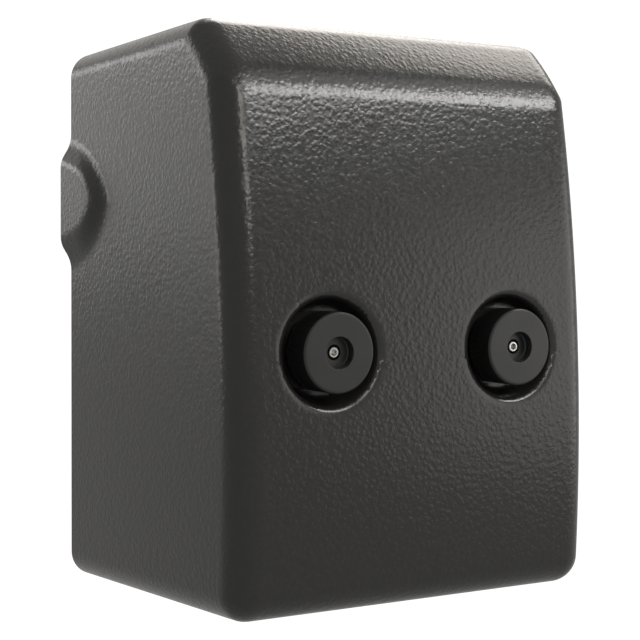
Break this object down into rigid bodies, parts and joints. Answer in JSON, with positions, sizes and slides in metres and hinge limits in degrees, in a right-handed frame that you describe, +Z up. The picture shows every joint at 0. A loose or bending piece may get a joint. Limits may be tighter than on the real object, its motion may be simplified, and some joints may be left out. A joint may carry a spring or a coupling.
{
  "type": "pedestrian traffic light",
  "caption": "Compact pedestrian signal head: standing and walking figure lenses under tunnel visors, and a grained rear cover that pulls off when its knurled knobs are undone.",
  "frame": {"origin": "centre of the bottom boss's lower face, on the axis of both mounting bosses", "axes": "+Z up through the bosses, +Y towards the lenses and visors, -Y towards the rear cover and its knobs, +X to the right seen from the cover side"},
  "size_m": [0.2398, 0.3153, 0.324],
  "materials": {
    "grained_cover": "deep leather grain, satin black, vacuum formed",
    "black_plastic": "moulded, satin black",
    "grey_plastic": "moulded, matt dark grey",
    "black_rubber": "matt",
    "stainless_steel": "turned and passivated",
    "cast_aluminium": "cast and machined",
    "circuit_board": "green solder mask",
    "red_diffuser": "translucent red",
    "green_diffuser": "translucent green",
    "clear_lens": "clear moulded polycarbonate",
    "white_plastic": "moulded, off white",
    "red_wire": "sheathed cable",
    "green_wire": "sheathed cable",
    "grey_wire": "sheathed cable"
  },
  "bodies": {
    "chassis": {"base_frame": "grey_plastic", "bezel": "black_plastic", "bezel_gasket": "black_rubber", "bezel_screw_1": "stainless_steel", "bezel_screw_2": "stainless_steel", "bezel_screw_3": "stainless_steel", "bezel_screw_4": "stainless_steel", "bezel_screw_5": "stainless_steel", "bezel_screw_6": "stainless_steel", "bottom_boss": "cast_aluminium", "bottom_boss_nut": "stainless_steel", "cable_gland": "black_plastic", "cover_gasket": "black_rubber", "diffuser_lower": "green_diffuser", "diffuser_upper": "red_diffuser", "grommet_lower": "black_rubber", "grommet_upper": "black_rubber", "led_board_lower": "circuit_board", "led_board_upper": "circuit_board", "lens_gasket_lower": "black_rubber", "lens_gasket_upper": "black_rubber", "lens_lower": "clear_lens", "lens_upper": "clear_lens", "module_housing_lower": "grey_plastic", "module_housing_upper": "grey_plastic", "mounting_plate": "cast_aluminium", "plate_screw_1": "stainless_steel", "plate_screw_2": "stainless_steel", "plate_screw_3": "stainless_steel", "plate_screw_4": "stainless_steel", "power_supply": "black_plastic", "stud_left": "stainless_steel", "stud_nut_left": "stainless_steel", "stud_nut_right": "stainless_steel", "stud_right": "stainless_steel", "supply_wire": "grey_wire", "symbol_mask_lower": "black_plastic", "symbol_mask_upper": "black_plastic", "terminal_block": "white_plastic", "top_boss": "cast_aluminium", "top_boss_nut": "stainless_steel", "top_plug": "black_rubber", "visor_lower": "black_plastic", "visor_screw_lower_left": "stainless_steel", "visor_screw_lower_right": "stainless_steel", "visor_screw_upper_left": "stainless_steel", "visor_screw_upper_right": "stainless_steel", "visor_upper": "black_plastic", "wire_lower": "green_wire", "wire_upper": "red_wire"},
    "cover": {"rear_cover": "grained_cover", "knob_washer_left": "black_rubber", "knob_washer_right": "black_rubber"},
    "knob_left": {"knob_left": "black_plastic", "knob_clip_left": "stainless_steel"},
    "knob_right": {"knob_right": "black_plastic", "knob_clip_right": "stainless_steel"}
  },
  "joints": [
    {"name": "cover_pull", "type": "slide", "parent": "chassis", "child": "cover", "axis": [0, -1, 0], "range_m": [0, 0.22]},
    {"name": "knob_left_spin", "type": "hinge", "parent": "cover", "child": "knob_left", "pos_m": [-0.0553, -0.155, 0.1505], "axis": [0, -1, 0], "continuous": true},
    {"name": "knob_right_spin", "type": "hinge", "parent": "cover", "child": "knob_right", "pos_m": [0.0553, -0.155, 0.1505], "axis": [0, -1, 0], "continuous": true}
  ]
}
